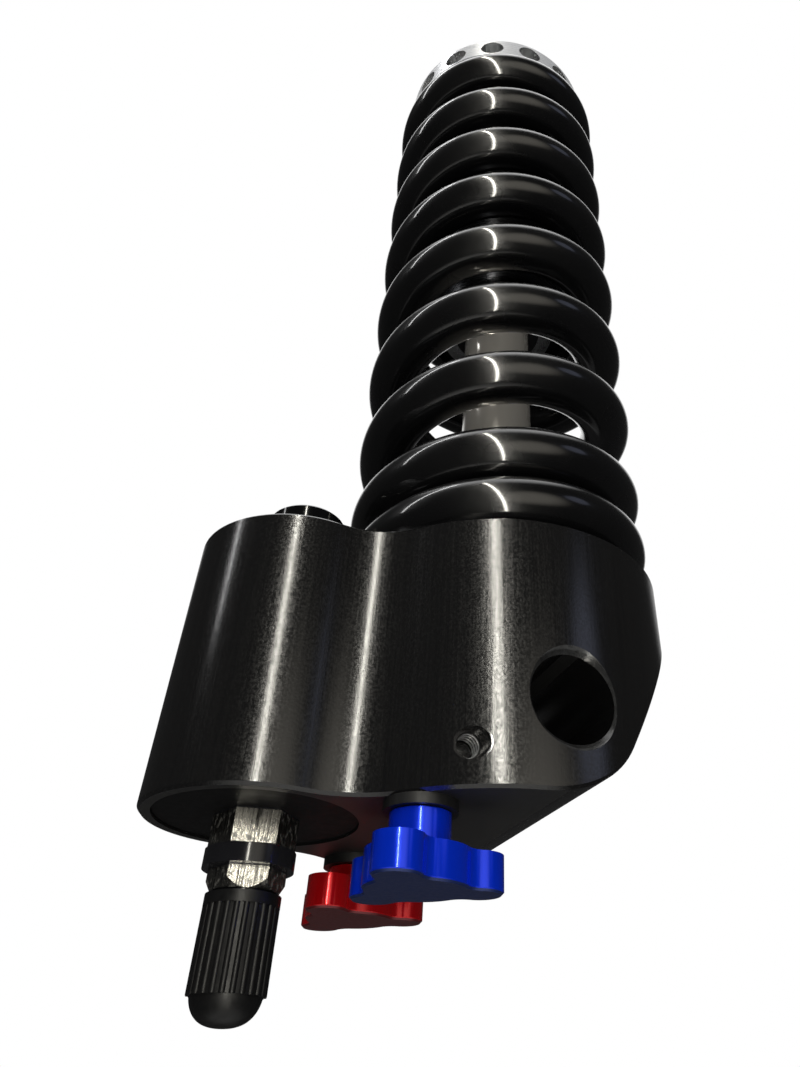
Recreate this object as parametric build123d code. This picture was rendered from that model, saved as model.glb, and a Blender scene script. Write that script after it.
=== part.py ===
from build123d import *
import math
import os

# Coil-over shock absorber, in millimetres.
# Z runs along the shock from the piggyback head towards the body's eye.
# The origin is the centre of the head's eye. -X points at the reservoir and the eye bores run along Y.

# Overall
stroke = 65.0
eye_bore = 12.2
edge_break = 0.4
seat_gap = 0.3
slide_gap = 0.05
thread_gap = 0.06

# Spring
wire = 9.5
closed_pitch = 10.0
closed_turns_low = 1.65
closed_turns_high = 0.55
total_turns = 8.98
spring_start_angle = 42.0
spring_blend = 0.12
spring_steps = 16
ground_share = 0.5
spring_clearance = 0.2

# Head block
head_border = 0.5
head_length = 39.0
eye_drop = 12.2
eye_wall = 4.2
eye_break = 0.3
flank_land = 4.0
flank_round = 16.0
reservoir_wall = 2.0
valley_round = 12.0
spigot_height = 2.5
spigot_wall = 1.8
side_screw = 3.3
side_screw_rim = 4.2
side_screw_x = -13.0
side_screw_z = -6.8
side_screw_depth = 4.0
side_screw_relief = 1.2

# Damper body
body_bore = 25.0
body_clearance = 2.0
body_wall = 2.5
bumper_thickness = 4.2
bumper_round = 0.8
seal_head_length = 12.0
body_end_thread = 8.0

# Shaft and piston
shaft = 14.0
shaft_bore = 5.0
shaft_thread = 14.8
stud = 8.0
stud_end = 0.3
piston_length = 10.0
piston_relief = 0.1
piston_ports = 6
piston_port = 2.8
band_width = 6.0
band_thickness = 1.1
shim_thickness = 0.2
shim_count = 4
shim_step = 2.6
top_out_thickness = 2.0
top_out_relief = 2.0
nut_across = 13.0
nut_height = 4.5
end_gap = 0.5

# Reservoir
chamber_bore = 26.0
cap_step = 0.3
reservoir_floor = 2.5
cap_recess = 0.4
cap_thickness = 4.0
cap_skirt = 1.8
cap_skirt_length = 3.0
float_length = 6.0
float_gap_to_floor = 3.6
float_recess = 3.5
float_wall = 4.5
end_plug = 12.0
end_plug_gap = 1.5
end_plug_height = 8.2
end_plug_thread = 8.0
end_plug_key = 5.0
end_plug_key_depth = 4.0

# Filling valve
valve_hex = 9.5
valve_hex_height = 4.4
valve_flange = 11.4
valve_flange_height = 2.2
valve_nut_hex = 8.4
valve_nut_height = 2.6
valve_turn = -6.5
valve_thread = 7.6
valve_thread_length = 8.6
valve_tail = 6.0
valve_tail_length = 2.0
valve_bore = 4.6
valve_way = 2.0
pin = 1.2
pin_head = 2.6
core_length = 4.0
core_tube = 3.4
core_drop = 1.5
cap_outside = 9.3
cap_collar_height = 1.3
cap_rib_length = 9.3
cap_dome_height = 3.1
cap_ribs = 24
cap_rib = 0.42
cap_seal_thickness = 1.0

# Adjusters
adjuster_x = -16.5
adjuster_y = 15.6
gland = 9.4
gland_height = 1.3
gland_thread = 8.0
gland_length = 9.0
knob_stem = 7.7
knob_lobe_offset = 7.6
knob_lobe_radius = 3.0
knob_waist = 13.0
knob_round = 2.2
knob_bevel = 0.35
knob_thickness = 4.4
knob_spindle = 4.0
needle = 3.0
needle_length = 7.0
needle_taper = 25.0
needle_socket = 2.4
needle_rise = 2.0
needle_way = 6.0
compression_drop = 5.6
rebound_drop = 3.9
compression_angle = -125.0
rebound_angle = -130.0

# Preload collar and spring seat
collar_border = 2.0
collar_height = 8.4
collar_bevel = 1.2
collar_holes = 15
collar_hole = 6.0
collar_hole_depth = 5.0
collar_hole_height = 3.4
collar_hole_phase = -25.6
collar_to_eye = 23.6
seat_border = 0.75
seat_flange = 1.2
seat_spigot = 3.0

# Body eye
body_eye_outside = 21.0
body_eye_width = 14.0
body_eye_drop = 9.5
body_flange_border = 2.0
body_flange_height = 2.0

# Seals
ring_section = 2.4
ring_squeeze = 0.2
wiper_section = 2.5
shaft_seal_section = 2.2
shaft_seal_height = 2.5
shaft_seal_drop = 4.4
oil_way = 3.5

# Widths that follow from the damper body's bore and from the reservoir's
body_outside = body_bore + 2 * body_wall
spring_inside = body_outside + 2 * body_clearance
spring_outside = spring_inside + 2 * wire
spring_radius = (spring_inside + wire) / 2
spigot_radius = spring_inside / 2 - spring_clearance
collar_outside = spring_outside - 2 * collar_border
seat_outside = collar_outside - 2 * seat_border
body_flange = body_outside + 2 * body_flange_border
head_radius = spring_outside / 2 + head_border
cap_seat_bore = chamber_bore + 2 * cap_step
reservoir_radius = chamber_bore / 2 + reservoir_wall
reservoir_offset = spring_outside / 2 + end_plug_gap + end_plug / 2
shim_stack = shim_thickness * shim_count
groove_depth = ring_section - ring_squeeze

# Places along Z, from the head to the body's eye, which come to 210 between the eyes
head_low = -eye_drop
head_high = head_low + head_length
bumper_high = head_high + bumper_thickness
body_low = bumper_high + seat_gap + stroke
seal_head_high = body_low + seal_head_length
top_out_low = seal_head_high + seat_gap
shoulder = top_out_low + top_out_thickness
piston_low = shoulder + shim_stack
piston_high = piston_low + piston_length
nut_low = piston_high + shim_stack
shaft_high = nut_low + nut_height + stud_end
shaft_low = head_high - shaft_thread
body_end_low = shaft_high + stroke + end_gap
body_high = body_end_low + body_end_thread
eye_to_eye = body_high + body_eye_drop
collar_high = eye_to_eye - collar_to_eye
collar_low = collar_high - collar_height
spring_low = head_high
spring_high = collar_low - seat_flange
spring_length = spring_high - spring_low
chamber_high = head_high - reservoir_floor
cap_face = head_low + cap_recess
cap_high = cap_face + cap_thickness + cap_skirt_length
float_high = chamber_high - float_gap_to_floor
float_low = float_high - float_length
oil_way_z = chamber_high - float_gap_to_floor / 2
active_turns = total_turns - closed_turns_low - closed_turns_high


def rod(diameter, low, high, x=0.0, y=0.0):
    """Cylinder along Z between two heights."""
    return Pos(x, y, low) * extrude(Circle(diameter / 2), high - low)


def tube(outside, inside, low, high, x=0.0, y=0.0):
    """Hollow cylinder along Z between two heights."""
    ring = Circle(outside / 2) - Circle(inside / 2)
    return Pos(x, y, low) * extrude(ring, high - low)


def prism(across, low, high, x=0.0, y=0.0, turn=0.0):
    """Hexagonal bar along Z, given by its size across the flats."""
    hexagon = RegularPolygon(across / 2, 6, major_radius=False, rotation=turn)
    return Pos(x, y, low) * extrude(hexagon, high - low)


def cross_bar(diameter, length, x, z):
    """Cylinder along Y, centred on the plane Y = 0."""
    return Pos(x, 0, z) * Rot(90, 0, 0) * Cylinder(diameter / 2, length)


def ring_in_groove(outside, low, x=0.0, y=0.0):
    """Square-section seal ring that fills its groove."""
    return tube(outside, outside - 2 * groove_depth, low, low + ring_section, x, y)


def head_outline():
    """Outline of the block: two round lobes, joined on each side by a hollow arc that touches both."""
    offset = reservoir_offset
    to_main = head_radius + valley_round
    to_small = reservoir_radius + valley_round
    hollow_x = (to_small ** 2 - to_main ** 2 - offset ** 2) / (2 * offset)
    hollow_y = math.sqrt(to_main ** 2 - hollow_x ** 2)
    main_touch = Vector(hollow_x, hollow_y) * (head_radius / to_main)
    small_centre = Vector(-offset, 0)
    hollow = Vector(hollow_x, hollow_y)
    small_touch = small_centre + (hollow - small_centre) * (reservoir_radius / to_small)
    between = (main_touch + small_touch) * 0.5
    deepest = hollow + (between - hollow).normalized() * valley_round
    sides = []
    for way in (1, -1):
        points = [Vector(p.X, way * p.Y) for p in (small_touch, deepest, main_touch)]
        sides.append(ThreePointArc(*points))
    main_arc = ThreePointArc(main_touch, (head_radius, 0), Vector(main_touch.X, -main_touch.Y))
    far_left = (-offset - reservoir_radius, 0)
    small_arc = ThreePointArc(small_touch, far_left, Vector(small_touch.X, -small_touch.Y))
    return make_face(sides[0] + main_arc + sides[1] + small_arc)


def flank_cutter():
    """Everything beyond the sloping flank, seen along Y. The flank keeps the eye's wall, ends at the
    block's far corner and is rounded into the near end."""
    reach = eye_bore / 2 + eye_wall
    corner_z = head_high - flank_land
    across = math.atan2(corner_z, head_radius) - math.acos(reach / math.hypot(corner_z, head_radius))
    slope = across + math.pi / 2
    foot = (reach - head_low * math.sin(across)) / math.cos(across)
    run = 2 * head_length
    tip = (foot + run * math.cos(slope), head_low + run * math.sin(slope))
    tangent = flank_round * math.tan(slope / 2)
    start = (foot - tangent, head_low)
    end = (foot + tangent * math.cos(slope), head_low + tangent * math.sin(slope))
    half = slope / 2
    middle = (start[0] + flank_round * math.sin(half), head_low + flank_round * (1 - math.cos(half)))
    below = (start[0], head_low - head_length)
    beyond = (tip[0], head_low - head_length)
    edge = ThreePointArc(start, middle, end) + Polyline(end, tip, beyond, below, start)
    face = Plane.XZ * make_face(edge)
    return extrude(face, 2 * head_radius, both=True)


def adjuster_places():
    """Side, drop of the knob and turn of its lobes, for the compression and the rebound adjuster."""
    return ((-adjuster_y, compression_drop, compression_angle), (adjuster_y, rebound_drop, rebound_angle))


def low_edges(block):
    """Edges where the walls meet the near end and the flank."""
    edges = []
    for edge in block.edges():
        box = edge.bounding_box()
        upright = box.size.X < 0.01 and box.size.Y < 0.01
        across = box.size.X < 0.01 and box.size.Z < 0.01
        if box.max.Z < head_high - flank_land / 2 and not upright and not across:
            edges.append(edge)
    return edges


def eye_countersink():
    """Cones that break the eye's two rims where they leave the round lobe."""
    rim = math.sqrt(head_radius ** 2 - (eye_bore / 2) ** 2) - eye_break
    cones = []
    for way in (1, -1):
        place = Plane(origin=(0, way * rim, 0), z_dir=(0, way, 0))
        cones.append(place * extrude(Circle(eye_bore / 2), eye_bore / 2, taper=-45))
    return cones


def adjuster_cut(y):
    """Threaded bore for a gland, the needle's bore above it and the oil way from there to the shaft."""
    cut = rod(gland_thread + 2 * thread_gap, head_low - 1, head_low + gland_length, adjuster_x, y)
    cut += rod(needle_way, head_low, oil_way_z, adjuster_x, y)
    across = Vector(-adjuster_x, -y, 0)
    way = Plane(origin=(adjuster_x, y, oil_way_z - oil_way), z_dir=across)
    return cut + way * extrude(Circle(oil_way / 2), across.length)


def side_screw_cut():
    """Tapped blind hole in the side of the main lobe, its mouth cleared to the thread's full width."""
    wall = math.sqrt(head_radius ** 2 - side_screw_x ** 2)
    cut = None
    for size, depth in ((side_screw, side_screw_depth), (side_screw_rim, side_screw_relief)):
        bottom = Plane(origin=(side_screw_x, depth - wall, side_screw_z), z_dir=(0, -1, 0))
        hole = bottom * extrude(Circle(size / 2), 2 * side_screw_depth)
        cut = hole if cut is None else cut + hole
    return cut


def make_head():
    """Head block: extruded body, eye, reservoir chamber, shaft socket and adjuster bores."""
    block = Pos(0, 0, head_low) * extrude(head_outline(), head_length)
    block -= flank_cutter()
    block = chamfer(low_edges(block), edge_break)
    block = chamfer(block.edges().group_by(Axis.Z)[-1], edge_break)
    spigot_inside = 2 * (spigot_radius - spigot_wall)
    block += tube(2 * spigot_radius, spigot_inside, head_high - edge_break, head_high + spigot_height)
    block -= cross_bar(eye_bore, 3 * head_radius, 0, 0)
    for cone in eye_countersink():
        block -= cone
    block -= rod(shaft + 2 * thread_gap, shaft_low, head_high + 1)
    block -= rod(cap_seat_bore, head_low - 1, cap_high + seat_gap, -reservoir_offset)
    block -= rod(chamber_bore, head_low, chamber_high, -reservoir_offset)
    block -= rod(end_plug_thread + 2 * thread_gap, chamber_high - 1, head_high + 1, -reservoir_offset)
    for y, drop, angle in adjuster_places():
        block -= adjuster_cut(y)
    way = Plane(origin=(-reservoir_offset, 0, oil_way_z), z_dir=(1, 0, 0))
    block -= way * extrude(Circle(oil_way / 2), reservoir_offset)
    return block - side_screw_cut()


def make_shaft():
    """Hollow shaft: thread in the head, ground rod, stud for the piston and an oil way."""
    body = rod(shaft, shaft_low + seat_gap, shoulder)
    body += rod(stud, shoulder - 1, shaft_high)
    body -= rod(shaft_bore, shaft_low - 1, shaft_high + 1)
    side = Plane(origin=(-shaft, 0, oil_way_z), z_dir=(1, 0, 0))
    body -= side * extrude(Circle(oil_way / 2), shaft)
    return body


def make_piston():
    """Main piston with a slot for its band and a ring of oil ports."""
    outside = body_bore - 2 * slide_gap - 2 * piston_relief
    piston = tube(outside, stud + 2 * slide_gap, piston_low, piston_high)
    low = (piston_low + piston_high - band_width) / 2
    slot = outside - 2 * band_thickness + 2 * piston_relief
    piston -= tube(outside + 2, slot, low, low + band_width)
    ports = Sketch() + PolarLocations((stud + outside) / 4, piston_ports) * Circle(piston_port / 2)
    piston -= Pos(0, 0, piston_low - 1) * extrude(ports, piston_length + 2)
    band = tube(body_bore - 2 * slide_gap, slot, low + slide_gap, low + band_width - slide_gap)
    return piston, band


def make_shims():
    """Stacks of spring-steel shims that get smaller away from the piston."""
    stacks = []
    for face, way in ((piston_low, -1), (piston_high, 1)):
        stack = None
        for n in range(shim_count):
            first = face + way * n * shim_thickness
            low = min(first, first + way * shim_thickness)
            size = body_bore - 2 * body_wall - shim_step * n
            shim = tube(size, stud + 2 * slide_gap, low, low + shim_thickness)
            stack = shim if stack is None else stack + shim
        stacks.append(stack)
    return stacks


def make_piston_nut():
    """Lock nut on the shaft's stud."""
    hole = rod(stud + 2 * thread_gap, nut_low - 1, shaft_high + 1)
    return prism(nut_across, nut_low, nut_low + nut_height) - hole


def make_bumpers():
    """Bottom-out bumper on the head and top-out bumper by the piston."""
    bumper = tube(body_outside - 1, shaft + 2 * slide_gap, head_high, bumper_high)
    bumper = fillet(bumper.edges().group_by(Axis.Z)[-1], bumper_round)
    top_out = tube(body_bore - 2 * top_out_relief, shaft + 2 * slide_gap, top_out_low, shoulder)
    return bumper, top_out


def make_body():
    """Damper body: plain tube whose outside carries the collar's thread."""
    body = tube(body_outside, body_bore, body_low, body_high)
    return chamfer(body.edges().group_by(Axis.Z)[0], edge_break)


def make_seal_head():
    """Seal head: bush for the shaft, groove for the body seal, counterbores for shaft seal and wiper."""
    inner = shaft + 2 * slide_gap
    outer = body_bore - 2 * thread_gap
    wiper_outside = shaft + 2 * wiper_section
    seal_outside = shaft + 2 * shaft_seal_section
    seal_low = body_low + shaft_seal_drop
    head = tube(outer, inner, body_low, seal_head_high)
    head -= tube(wiper_outside, inner, body_low, body_low + wiper_section)
    head -= tube(seal_outside, inner, seal_low, seal_low + shaft_seal_height)
    groove_low = seal_head_high - 2 * ring_section
    head -= tube(outer + 2, outer - 2 * groove_depth, groove_low, groove_low + ring_section)
    wiper = tube(wiper_outside - 2 * slide_gap, inner, body_low, body_low + wiper_section - slide_gap)
    seal = tube(seal_outside, inner, seal_low + slide_gap, seal_low + shaft_seal_height - slide_gap)
    return head, wiper, seal, ring_in_groove(outer, groove_low)


def make_body_eye():
    """End fitting: screwed plug, flange and a round eye across the axis."""
    plug = rod(body_bore - 2 * thread_gap, body_end_low, body_high)
    flange = rod(body_flange, body_high, body_high + body_flange_height)
    flange = chamfer(flange.edges(), edge_break)
    neck = Box(body_eye_outside, body_eye_width, body_eye_drop)
    neck = Pos(0, 0, body_high + body_eye_drop / 2) * neck
    eye = cross_bar(body_eye_outside, body_eye_width, 0, eye_to_eye)
    fitting = plug + flange + neck + eye
    groove_low = body_end_low + ring_section
    outer = body_bore - 2 * thread_gap
    fitting -= tube(outer + 2, outer - 2 * groove_depth, groove_low, groove_low + ring_section)
    fitting -= cross_bar(eye_bore, 2 * body_eye_width, 0, eye_to_eye)
    return fitting, ring_in_groove(outer, groove_low)


def make_collar():
    """Preload collar: threaded ring with blind spanner holes round its rim."""
    collar = tube(collar_outside, body_outside + 2 * thread_gap, collar_low, collar_high)
    rims = collar.edges().filter_by(GeomType.CIRCLE).group_by(SortBy.RADIUS)[-1]
    collar = chamfer(rims.sort_by(Axis.Z)[-1], collar_bevel)
    middle = collar_low + collar_hole_height
    for n in range(collar_holes):
        turn = math.radians(collar_hole_phase + n * 360 / collar_holes)
        outward = Vector(math.sin(turn), -math.cos(turn), 0)
        start = outward * (collar_outside / 2 - collar_hole_depth) + Vector(0, 0, middle)
        collar -= Plane(origin=start, z_dir=outward) * extrude(Circle(collar_hole / 2), collar_hole_depth + 2)
    return collar


def make_spring_seat():
    """Seat ring between collar and spring, with a spigot that centres the last coil."""
    inside = body_outside + 4 * slide_gap
    seat = tube(seat_outside, inside, spring_high, collar_low)
    return seat + tube(2 * spigot_radius, inside, spring_high - seat_spigot, collar_low)


def coil_height(turn):
    """Height of the wire's centre after some turns: closed, open and closed again, without a kink."""
    rise = closed_pitch * turn
    open_extra = open_pitch() - closed_pitch
    for start, sign in ((closed_turns_low, 1), (total_turns - closed_turns_high, -1)):
        past = turn - start
        rise += sign * open_extra * (past + math.hypot(past, spring_blend)) / 2
    return rise


def open_pitch():
    """Pitch of the open coils that brings both half-ground ends to the spring's length."""
    closed = closed_pitch * (closed_turns_low + closed_turns_high)
    return (spring_length - closed - wire * (1 - 2 * ground_share)) / active_turns


def make_spring():
    """Round wire swept along the coil, with both ends ground flat."""
    count = round(total_turns * spring_steps)
    first = math.radians(spring_start_angle)
    points = []
    for n in range(count + 1):
        turn = total_turns * n / count
        angle = first + 2 * math.pi * turn
        height = spring_low + coil_height(turn) + wire * (0.5 - ground_share)
        points.append((spring_radius * math.cos(angle), spring_radius * math.sin(angle), height))
    path = Spline(*points)
    section = Plane(origin=path @ 0, z_dir=path % 0) * Circle(wire / 2)
    coil = sweep(section, path=path, is_frenet=True)
    room = Pos(0, 0, spring_low) * extrude(Circle(spring_outside), spring_length)
    return coil & room


def make_reservoir_cap():
    """Reservoir cap: flush disc with a skirt, a groove for its ring and a hole for the valve."""
    outside = cap_seat_bore - 2 * thread_gap
    top = cap_face + cap_thickness
    cap = rod(outside, cap_face, top, -reservoir_offset)
    cap += tube(outside, outside - 2 * (cap_skirt + groove_depth), cap_face, cap_high, -reservoir_offset)
    cap -= tube(outside + 2, outside - 2 * groove_depth, top, top + ring_section, -reservoir_offset)
    cap -= rod(valve_tail + 2 * thread_gap, cap_face - 1, top + 1, -reservoir_offset)
    return cap, ring_in_groove(outside, top, -reservoir_offset)


def make_floating_piston():
    """Floating piston between oil and gas: cup open towards the gas, with a ring groove."""
    outside = chamber_bore - 2 * slide_gap
    floor = outside - 2 * groove_depth
    low = (float_low + float_high - ring_section) / 2
    piston = rod(outside, float_low, float_high, -reservoir_offset)
    piston -= rod(outside - 2 * float_wall, float_low - 1, float_low + float_recess, -reservoir_offset)
    piston -= tube(outside + 2, floor, low, low + ring_section, -reservoir_offset)
    return piston, ring_in_groove(outside, low, -reservoir_offset)


def make_end_plug():
    """Plug in the reservoir's far end: round head with a hexagon socket."""
    top = head_high + end_plug_height
    plug = rod(end_plug, head_high, top, -reservoir_offset)
    plug = chamfer(plug.edges().group_by(Axis.Z)[-1], edge_break)
    plug += rod(end_plug_thread, chamber_high + seat_gap, top - end_plug_key_depth, -reservoir_offset)
    return plug - prism(end_plug_key, top - end_plug_key_depth, top + 1, -reservoir_offset)


def make_valve():
    """Filling valve: hexagon, flange, smaller hexagon, outer thread and a bore for the core."""
    x = -reservoir_offset
    hex_low = cap_face - valve_hex_height
    flange_low = hex_low - valve_flange_height
    nut_end = flange_low - valve_nut_height
    mouth = nut_end - valve_thread_length
    tail_high = cap_face + cap_thickness + valve_tail_length
    valve = prism(valve_hex, hex_low, cap_face, x, turn=valve_turn)
    valve += rod(valve_flange, flange_low, hex_low, x)
    cone = Pos(x, 0, nut_end) * extrude(Circle(valve_nut_hex / 2), valve_nut_height, taper=-30)
    valve += prism(valve_nut_hex, nut_end, flange_low, x, turn=valve_turn) & cone
    valve += rod(valve_thread, mouth, nut_end, x)
    valve += rod(valve_tail, cap_face, tail_high, x)
    valve -= rod(valve_bore, mouth - 1, cap_face - 1, x)
    valve -= rod(valve_way, nut_end, tail_high + 1, x)
    return valve, nut_end


def make_valve_core(nut_end):
    """Valve core: threaded plug and tube, with a sprung pin through them that ends in a sealing head."""
    x = -reservoir_offset
    mouth = nut_end - valve_thread_length
    low = mouth + core_drop
    middle = low + core_length
    high = middle + core_length
    core = rod(valve_bore - 2 * thread_gap, low, middle, x)
    core += rod(core_tube, low, high, x)
    core -= rod(pin + 2 * slide_gap, low - 1, high + 1, x)
    core -= rod(pin_head, low - 1, low + core_drop, x)
    head_high_end = high + slide_gap + core_drop
    stem = rod(pin, mouth + seat_gap, head_high_end, x)
    return core, stem + rod(pin_head, high + slide_gap, head_high_end, x)


def make_valve_cap(nut_end):
    """Dust cap: plain collar, ribbed barrel and domed end, hollow over the valve's thread."""
    x = -reservoir_offset
    high = nut_end - seat_gap
    rib_high = high - cap_collar_height
    rib_low = rib_high - cap_rib_length
    barrel = rod(cap_outside - cap_rib, rib_low, rib_high, x)
    collar = rod(cap_outside, rib_high, high, x)
    ribs = Sketch() + PolarLocations(cap_outside / 2 - cap_rib, cap_ribs) * Circle(cap_rib)
    ring = Pos(x, 0, rib_low) * extrude(ribs, cap_rib_length)
    dome_radius = cap_outside / 2 - cap_rib
    profile = Line((0, 0), (dome_radius, 0)) + Spline(
        (dome_radius, 0), (dome_radius * 0.8, -cap_dome_height * 0.62), (0, -cap_dome_height),
        tangents=((-0.15, -1), (-1, 0)))
    profile += Line((0, -cap_dome_height), (0, 0))
    dome = Pos(x, 0, rib_low) * revolve(Plane.XZ * make_face(profile), Axis.Z)
    cap = barrel + collar + ring + dome
    mouth = nut_end - valve_thread_length
    seal_low = mouth - seat_gap - cap_seal_thickness
    cap -= rod(valve_thread + 2 * thread_gap, seal_low, high + 1, x)
    return cap, tube(valve_thread - 2 * seat_gap, valve_way, seal_low, mouth - seat_gap, x)


def make_glands():
    """Two screwed glands that carry the adjusters, as separate solids."""
    glands = []
    for y, drop, angle in adjuster_places():
        part = rod(gland, head_low - gland_height, head_low, adjuster_x, y)
        part += rod(gland_thread, head_low - gland_height, head_low + gland_length - seat_gap, adjuster_x, y)
        part -= rod(knob_spindle + 2 * slide_gap, head_low - 3, head_low + gland_length + 1, adjuster_x, y)
        glands.append(part)
    return Compound(glands)


def knob_outline(angle):
    """Round waist with three round lobes, blended into it."""
    lobes = Circle(knob_waist / 2)
    for n in range(3):
        turn = math.radians(angle + 120 * n)
        place = Pos(knob_lobe_offset * math.cos(turn), knob_lobe_offset * math.sin(turn))
        lobes += place * Circle(knob_lobe_radius)
    return fillet(lobes.vertices(), knob_round)


def make_knob(y, drop, angle):
    """Lobed hand knob with a round stem, and the spindle with a socket for the needle."""
    face = head_low - drop
    spindle_high = head_low + gland_length + seat_gap
    knob = Pos(adjuster_x, y, face - knob_thickness) * extrude(knob_outline(angle), knob_thickness)
    knob = chamfer(knob.edges().group_by(Axis.Z)[0], knob_bevel)
    knob += rod(knob_stem, face - knob_thickness / 2, head_low - gland_height - seat_gap / 2, adjuster_x, y)
    knob += rod(knob_spindle, face - knob_thickness / 2, spindle_high, adjuster_x, y)
    return knob - rod(needle_socket, spindle_high - needle_length, spindle_high + 1, adjuster_x, y)


def make_needle(y):
    """Metering needle: stem in the knob's socket, threaded collar and tapered tip."""
    low = head_low + gland_length + seat_gap + needle_rise
    high = low + needle_rise
    stem = rod(needle_socket - 2 * slide_gap, low - needle_length, low, adjuster_x, y)
    body = rod(needle, low, high, adjuster_x, y)
    tip = Pos(adjuster_x, y, high) * extrude(Circle(needle / 2), needle_rise, taper=needle_taper)
    return stem + body + tip


def main():
    """Makes every piece and writes it to its own file."""
    piston, band = make_piston()
    low_shims, high_shims = make_shims()
    bumper, top_out = make_bumpers()
    seal_head, wiper, shaft_seal, seal_head_ring = make_seal_head()
    body_eye, body_eye_ring = make_body_eye()
    reservoir_cap, cap_ring = make_reservoir_cap()
    floating_piston, floating_ring = make_floating_piston()
    valve, nut_end = make_valve()
    valve_core, valve_pin = make_valve_core(nut_end)
    valve_cap, valve_cap_seal = make_valve_cap(nut_end)
    low_side, high_side = adjuster_places()
    pieces = {
        "head_block": make_head(),
        "shaft": make_shaft(),
        "main_piston": piston,
        "piston_band": band,
        "rebound_shims": low_shims,
        "compression_shims": high_shims,
        "piston_nut": make_piston_nut(),
        "bottom_out_bumper": bumper,
        "top_out_bumper": top_out,
        "damper_body": make_body(),
        "seal_head": seal_head,
        "shaft_wiper": wiper,
        "shaft_seal": shaft_seal,
        "seal_head_ring": seal_head_ring,
        "body_eye": body_eye,
        "body_eye_ring": body_eye_ring,
        "preload_collar": make_collar(),
        "spring_seat": make_spring_seat(),
        "coil_spring": make_spring(),
        "reservoir_cap": reservoir_cap,
        "reservoir_cap_ring": cap_ring,
        "floating_piston": floating_piston,
        "floating_piston_ring": floating_ring,
        "reservoir_end_plug": make_end_plug(),
        "filling_valve": valve,
        "valve_core": valve_core,
        "valve_pin": valve_pin,
        "valve_cap": valve_cap,
        "valve_cap_seal": valve_cap_seal,
        "adjuster_glands": make_glands(),
        "compression_knob": make_knob(*low_side),
        "rebound_knob": make_knob(*high_side),
        "compression_needle": make_needle(low_side[0]),
        "rebound_needle": make_needle(high_side[0]),
    }
    os.makedirs("parts", exist_ok=True)
    for name, piece in pieces.items():
        export_step(piece, f"parts/{name}.step")


if __name__ == "__main__":
    main()
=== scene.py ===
import math
import bpy
import numpy as np
from bpy.props import FloatProperty, FloatVectorProperty, IntProperty, PointerProperty
from mathutils import Matrix, Vector


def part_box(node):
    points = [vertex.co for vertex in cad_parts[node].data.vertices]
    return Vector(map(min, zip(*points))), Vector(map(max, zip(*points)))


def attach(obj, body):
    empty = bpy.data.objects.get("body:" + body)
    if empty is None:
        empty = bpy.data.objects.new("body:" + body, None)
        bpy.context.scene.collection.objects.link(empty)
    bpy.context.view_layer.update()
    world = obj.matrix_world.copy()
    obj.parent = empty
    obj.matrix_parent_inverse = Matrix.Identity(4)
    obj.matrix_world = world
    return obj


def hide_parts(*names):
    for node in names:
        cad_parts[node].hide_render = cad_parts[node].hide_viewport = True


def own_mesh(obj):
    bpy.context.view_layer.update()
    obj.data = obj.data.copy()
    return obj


bl_info = {
    "name": "Coil-over Shock Absorber",
    "version": (1, 0, 0),
    "blender": (4, 5, 0),
    "location": "View3D > Sidebar > Shock",
    "description": "Dresses the coil-over shock absorber: spring, threads, finishes, stage and camera",
    "category": "Object",
}

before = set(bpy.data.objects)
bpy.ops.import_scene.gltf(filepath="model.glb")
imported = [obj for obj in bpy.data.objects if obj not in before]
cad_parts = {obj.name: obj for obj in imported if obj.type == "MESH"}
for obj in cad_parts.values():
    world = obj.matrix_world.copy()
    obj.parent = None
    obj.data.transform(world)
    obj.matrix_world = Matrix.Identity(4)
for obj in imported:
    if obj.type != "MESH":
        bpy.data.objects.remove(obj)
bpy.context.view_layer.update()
MM = 0.001
TURN = 2 * math.pi
AXIS = Vector((0, 0, 1))
WHITE = (1, 1, 1)


def linear(code):
    """Linear colour from an sRGB hex code: a straight line when dark and a power of 2.4 above."""
    channels = [int(code[i:i + 2], 16) / 255 for i in (1, 3, 5)]
    return [c / 12.92 if c <= 0.04045 else ((c + 0.055) / 1.055) ** 2.4 for c in channels]


def colour(name, description, code):
    """A colour property whose default is given as sRGB hex."""
    return FloatVectorProperty(name=name, description=description, subtype="COLOR", size=3, min=0,
                               max=1, default=linear(code))


def length(name, description, millimetres):
    """A length property whose default is given in millimetres."""
    return FloatProperty(name=name, description=description, subtype="DISTANCE", unit="LENGTH",
                         default=millimetres * MM, precision=5)


def turn_count(name, description, turns):
    """A property that counts turns of the spring."""
    return FloatProperty(name=name, description=description, default=turns)


def steps(name, description, count, least):
    """A property that counts the points of a grid."""
    return IntProperty(name=name, description=description, default=count, min=least)


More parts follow.
